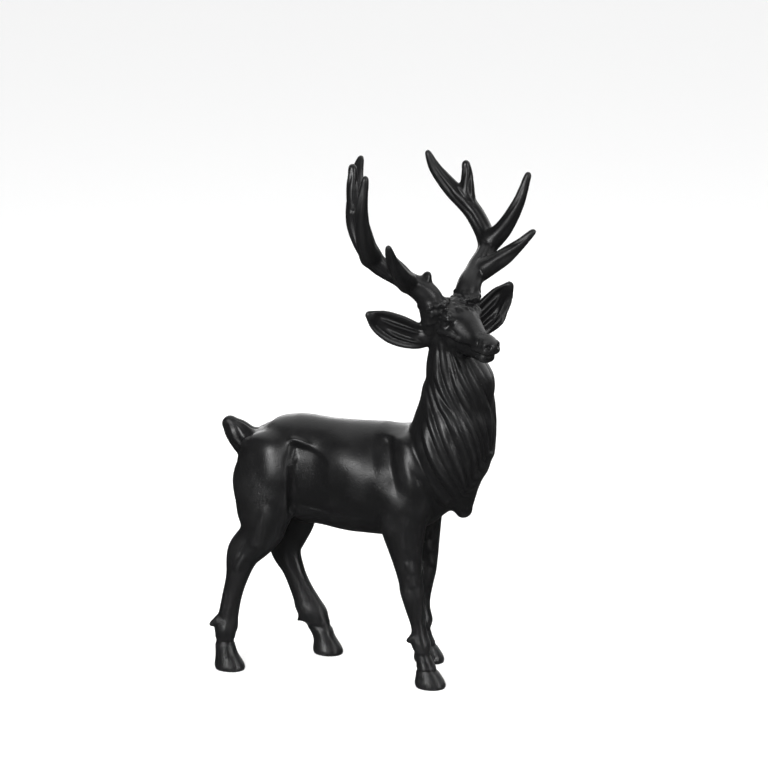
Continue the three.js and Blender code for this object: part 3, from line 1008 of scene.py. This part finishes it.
def floor_material(colour):
    material = bpy.data.materials.new("stage_floor")
    material.use_nodes = True
    shader = material.node_tree.nodes["Principled BSDF"]
    shader.inputs["Base Color"].default_value = (*colour, 1)
    shader.inputs["Roughness"].default_value = 0.8
    shader.inputs["Specular IOR Level"].default_value = 0.2
    return material


# Settings that a user may change
class StagCasting(bpy.types.PropertyGroup):
    rough_grain: FloatProperty(
        name="Rough Grain",
        description="Size of a face while the forms are fused",
        default=0.0011,
        unit="LENGTH",
    )
    fine_grain: FloatProperty(
        name="Fine Grain",
        description="Size of a face while the detail is cut",
        default=0.00075,
        unit="LENGTH",
    )
    crease_rounds: IntProperty(
        name="Crease Fill",
        description="How often the creases between forms are filled",
        default=36,
        min=0,
    )
    triangles: IntProperty(
        name="Triangles",
        description="Triangles in the finished casting",
        default=190000,
        min=20000,
    )
    strand_rise: FloatProperty(
        name="Strand Rise",
        description="Height of the mane's strands",
        default=0.0034,
        unit="LENGTH",
    )
    tail_groove: FloatProperty(
        name="Tail Groove",
        description="Depth of the lines along the tail",
        default=0.0008,
        unit="LENGTH",
    )
    ear_hollow: FloatProperty(
        name="Ear Hollow",
        description="Depth of the hollow in an ear",
        default=0.0048,
        unit="LENGTH",
    )
    antler_groove: FloatProperty(
        name="Antler Groove",
        description="Depth of the lines along an antler",
        default=0.0008,
        unit="LENGTH",
    )


class StagFinish(bpy.types.PropertyGroup):
    colour: FloatVectorProperty(
        name="Colour",
        description="Colour of the black iron",
        default=(0.004, 0.004, 0.0042),
        subtype="COLOR",
    )
    worn_colour: FloatVectorProperty(
        name="Worn Colour",
        description="Colour where edges are rubbed",
        default=(0.014, 0.014, 0.0143),
        subtype="COLOR",
    )
    roughness: FloatProperty(
        name="Roughness",
        description="Mean roughness of the satin surface",
        default=0.35,
        subtype="FACTOR",
    )
    grain_height: FloatProperty(
        name="Grain Height",
        description="Height of the casting's grain",
        default=0.00025,
        unit="LENGTH",
    )


class StagStage(bpy.types.PropertyGroup):
    floor_colour: FloatVectorProperty(
        name="Floor Colour",
        description="Colour of the pale floor",
        default=(0.97, 0.97, 0.97),
        subtype="COLOR",
    )
    floor_radius: FloatProperty(
        name="Floor Radius",
        description="Radius of the floor",
        default=9.0,
        unit="LENGTH",
    )
    key_power: FloatProperty(
        name="Key Power",
        description="Power of the soft light in front",
        default=36.0,
        unit="POWER",
    )
    fill_power: FloatProperty(
        name="Fill Power",
        description="Power of the light before the stag's breast",
        default=14.0,
        unit="POWER",
    )
    far_power: FloatProperty(
        name="Far Power",
        description="Power of the light on the far side",
        default=2.5,
        unit="POWER",
    )
    low_power: FloatProperty(
        name="Low Power",
        description="Power of each gridded light on the legs",
        default=0.22,
        unit="POWER",
    )
    back_power: FloatProperty(
        name="Back Power",
        description="Strength of the wide light from behind",
        default=3.6,
    )
    sky: FloatProperty(
        name="Sky",
        description="Strength of the light from all round",
        default=0.06,
    )
    lens: FloatProperty(
        name="Lens",
        description="Focal length of the camera",
        default=143.4,
        unit="CAMERA",
    )


# Operators
class STAG_OT_casting(bpy.types.Operator):
    """Builds the stag as one closed casting and gives it its iron finish"""

    bl_idname = "stag.casting"
    bl_label = "Build Casting"

    def execute(self, context):
        mesh = sculpt(context.scene.stag_casting)
        mesh.name = "stag_casting"
        mesh.materials.clear()
        mesh.materials.append(iron_material(context.scene.stag_finish))
        mesh.shade_smooth()
        piece = bpy.data.objects.new("stag_casting", mesh)
        context.scene.collection.objects.link(piece)
        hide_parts("stag")
        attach(piece, "root")
        return {"FINISHED"}


class STAG_OT_stage(bpy.types.Operator):
    """Builds the pale floor, the soft lights and the camera"""

    bl_idname = "stag.stage"
    bl_label = "Build Stage"

    def execute(self, context):
        scene = context.scene
        settings = scene.stag_stage
        bm = bmesh.new()
        bmesh.ops.create_circle(bm, cap_ends=True, segments=96, radius=settings.floor_radius)
        mesh = bpy.data.meshes.new("stage_floor")
        bm.to_mesh(mesh)
        bm.free()
        mesh.materials.append(floor_material(settings.floor_colour))
        floor = bpy.data.objects.new("stage_floor", mesh)
        floor.visible_glossy = False
        scene.collection.objects.link(floor)
        self.add_light(scene, "key", LIGHT_AIM, KEY_LIGHT, settings.key_power)
        self.add_light(scene, "fill", LIGHT_AIM, FILL_LIGHT, settings.fill_power)
        self.add_light(scene, "far", LIGHT_AIM, FAR_LIGHT, settings.far_power)
        for name, layout in LOW_LIGHTS.items():
            low = self.add_light(scene, name, Vector(), layout, settings.low_power)
            low.spread = LOW_SPREAD
        sun = bpy.data.lights.new("back", "SUN")
        sun.energy = settings.back_power
        sun.angle = BACK_SPREAD
        back = bpy.data.objects.new("back", sun)
        back.rotation_euler = self.towards(*BACK_LIGHT).to_track_quat("Z", "Y").to_euler()
        scene.collection.objects.link(back)
        world = bpy.data.worlds.new("stage_sky")
        world.use_nodes = True
        nodes, links = world.node_tree.nodes, world.node_tree.links
        background = nodes["Background"]
        background.inputs["Color"].default_value = (1, 1, 1, 1)
        path = nodes.new("ShaderNodeLightPath")
        strength = remap(nodes, links, path.outputs["Is Camera Ray"], (0, 1), (settings.sky, 1.0))
        links.new(strength, background.inputs["Strength"])
        scene.world = world
        camera = bpy.data.objects.new("camera", bpy.data.cameras.new("camera"))
        camera.data.sensor_width = SENSOR_WIDTH
        camera.data.lens = settings.lens
        outward = self.towards(CAMERA_AZIMUTH, CAMERA_ELEVATION)
        camera.location = CAMERA_AIM + outward * CAMERA_DISTANCE
        camera.rotation_euler = outward.to_track_quat("Z", "Y").to_euler()
        scene.collection.objects.link(camera)
        scene.camera = camera
        scene.view_settings.view_transform = "Standard"
        return {"FINISHED"}

    @staticmethod
    def towards(azimuth, elevation):
        """The direction from the statue at an azimuth round it from its right side, and an elevation."""
        turn, tilt = math.radians(azimuth), math.radians(elevation)
        level = math.cos(tilt)
        return Vector((math.sin(turn) * level, -math.cos(turn) * level, math.sin(tilt)))

    def add_light(self, scene, name, aim, layout, power):
        """Adds a soft rectangular light that faces its aim, and returns it."""
        azimuth, elevation, distance, width, height = layout
        light = bpy.data.lights.new(name, "AREA")
        light.shape = "RECTANGLE"
        light.size = width
        light.size_y = height
        light.energy = power
        holder = bpy.data.objects.new(name, light)
        outward = self.towards(azimuth, elevation)
        holder.location = aim + outward * distance
        holder.rotation_euler = outward.to_track_quat("Z", "Y").to_euler()
        holder.visible_camera = False
        scene.collection.objects.link(holder)
        return light


class STAG_PT_panel(bpy.types.Panel):
    """The stag's settings and its two build steps"""

    bl_idname = "STAG_PT_panel"
    bl_label = "Cast Iron Stag"
    bl_space_type = "VIEW_3D"
    bl_region_type = "UI"
    bl_category = "Stag"

    def draw(self, context):
        scene = context.scene
        for settings in (scene.stag_casting, scene.stag_finish, scene.stag_stage):
            column = self.layout.column(align=True)
            for name in settings.__annotations__:
                column.prop(settings, name)
        self.layout.operator("stag.casting")
        self.layout.operator("stag.stage")


CLASSES = (StagCasting, StagFinish, StagStage, STAG_OT_casting, STAG_OT_stage, STAG_PT_panel)


def register():
    for item in CLASSES:
        bpy.utils.register_class(item)
    bpy.types.Scene.stag_casting = PointerProperty(type=StagCasting)
    bpy.types.Scene.stag_finish = PointerProperty(type=StagFinish)
    bpy.types.Scene.stag_stage = PointerProperty(type=StagStage)


def unregister():
    del bpy.types.Scene.stag_stage
    del bpy.types.Scene.stag_finish
    del bpy.types.Scene.stag_casting
    for item in reversed(CLASSES):
        bpy.utils.unregister_class(item)


def main():
    register()
    bpy.ops.stag.casting()
    bpy.ops.stag.stage()
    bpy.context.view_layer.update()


if __name__ == "__main__":
    main()
